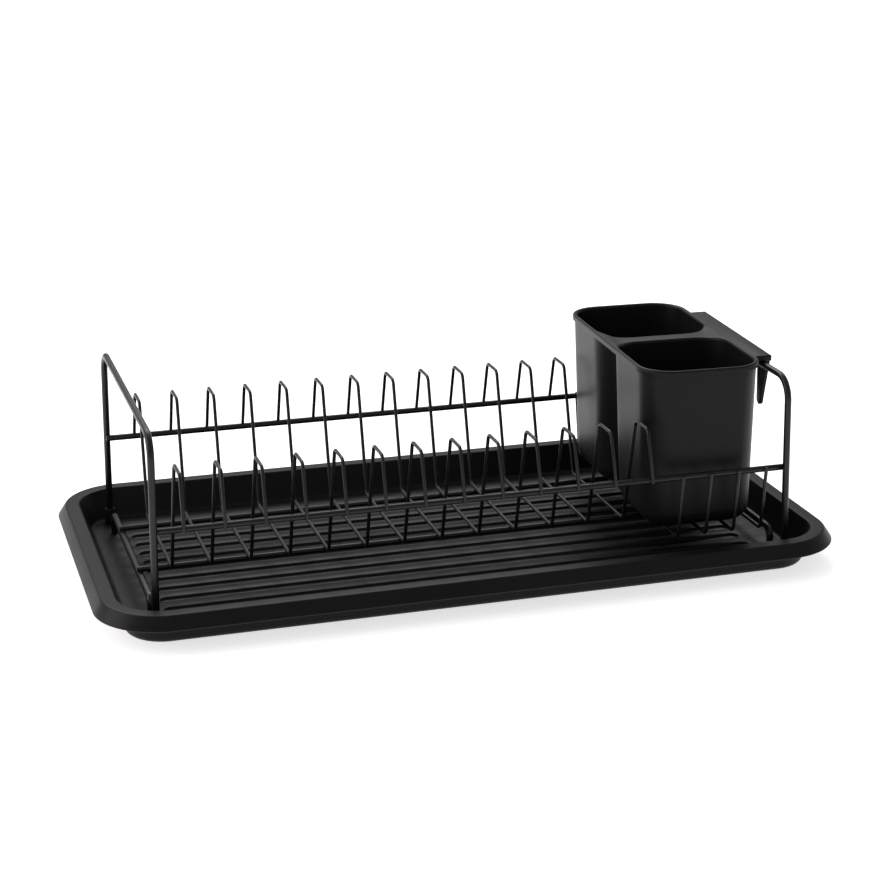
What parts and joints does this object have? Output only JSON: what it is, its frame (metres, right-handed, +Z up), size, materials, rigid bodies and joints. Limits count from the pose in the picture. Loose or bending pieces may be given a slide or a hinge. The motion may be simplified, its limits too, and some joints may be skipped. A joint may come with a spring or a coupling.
{
  "type": "dish drying rack",
  "caption": "Coated wire dish rack with looped plate dividers, standing in a rimmed drip tray, with a twin-tub cutlery holder hooked over one end frame.",
  "frame": {"origin": "centre of the tray's footprint, on the table", "axes": "+X along the rack towards the cutlery holder, +Y from front to back, +Z up"},
  "size_m": [0.5414, 0.2942, 0.149],
  "materials": {
    "wire_coating": "satin black powder coat",
    "tray_plastic": "fine-grained satin black",
    "holder_plastic": "satin black",
    "cap_plastic": "soft black"
  },
  "bodies": {
    "tray": {"drip_tray": "tray_plastic"},
    "rack": {"end_frame_left": "wire_coating", "end_frame_right": "wire_coating", "front_rail": "wire_coating", "rear_rail": "wire_coating", "foot_bar_left": "wire_coating", "foot_bar_right": "wire_coating", "floor_wire_front": "wire_coating", "floor_wire_rear": "wire_coating", "divider_1": "wire_coating", "divider_2": "wire_coating", "divider_3": "wire_coating", "divider_4": "wire_coating", "divider_5": "wire_coating", "divider_6": "wire_coating", "divider_7": "wire_coating", "divider_8": "wire_coating", "divider_9": "wire_coating", "divider_10": "wire_coating", "divider_11": "wire_coating", "divider_12": "wire_coating", "divider_13": "wire_coating", "basket_wire_1": "wire_coating", "basket_wire_2": "wire_coating", "basket_wire_3": "wire_coating", "basket_wire_4": "wire_coating", "foot_caps": "cap_plastic"},
    "holder": {"cutlery_holder": "holder_plastic"}
  },
  "joints": [
    {"name": "rack_lift", "type": "slide", "parent": "tray", "child": "rack", "axis": [0, 0, 1], "range_m": [0, 0.03]},
    {"name": "holder_lift", "type": "slide", "parent": "rack", "child": "holder", "axis": [0, 0, 1], "range_m": [0, 0.12]}
  ]
}
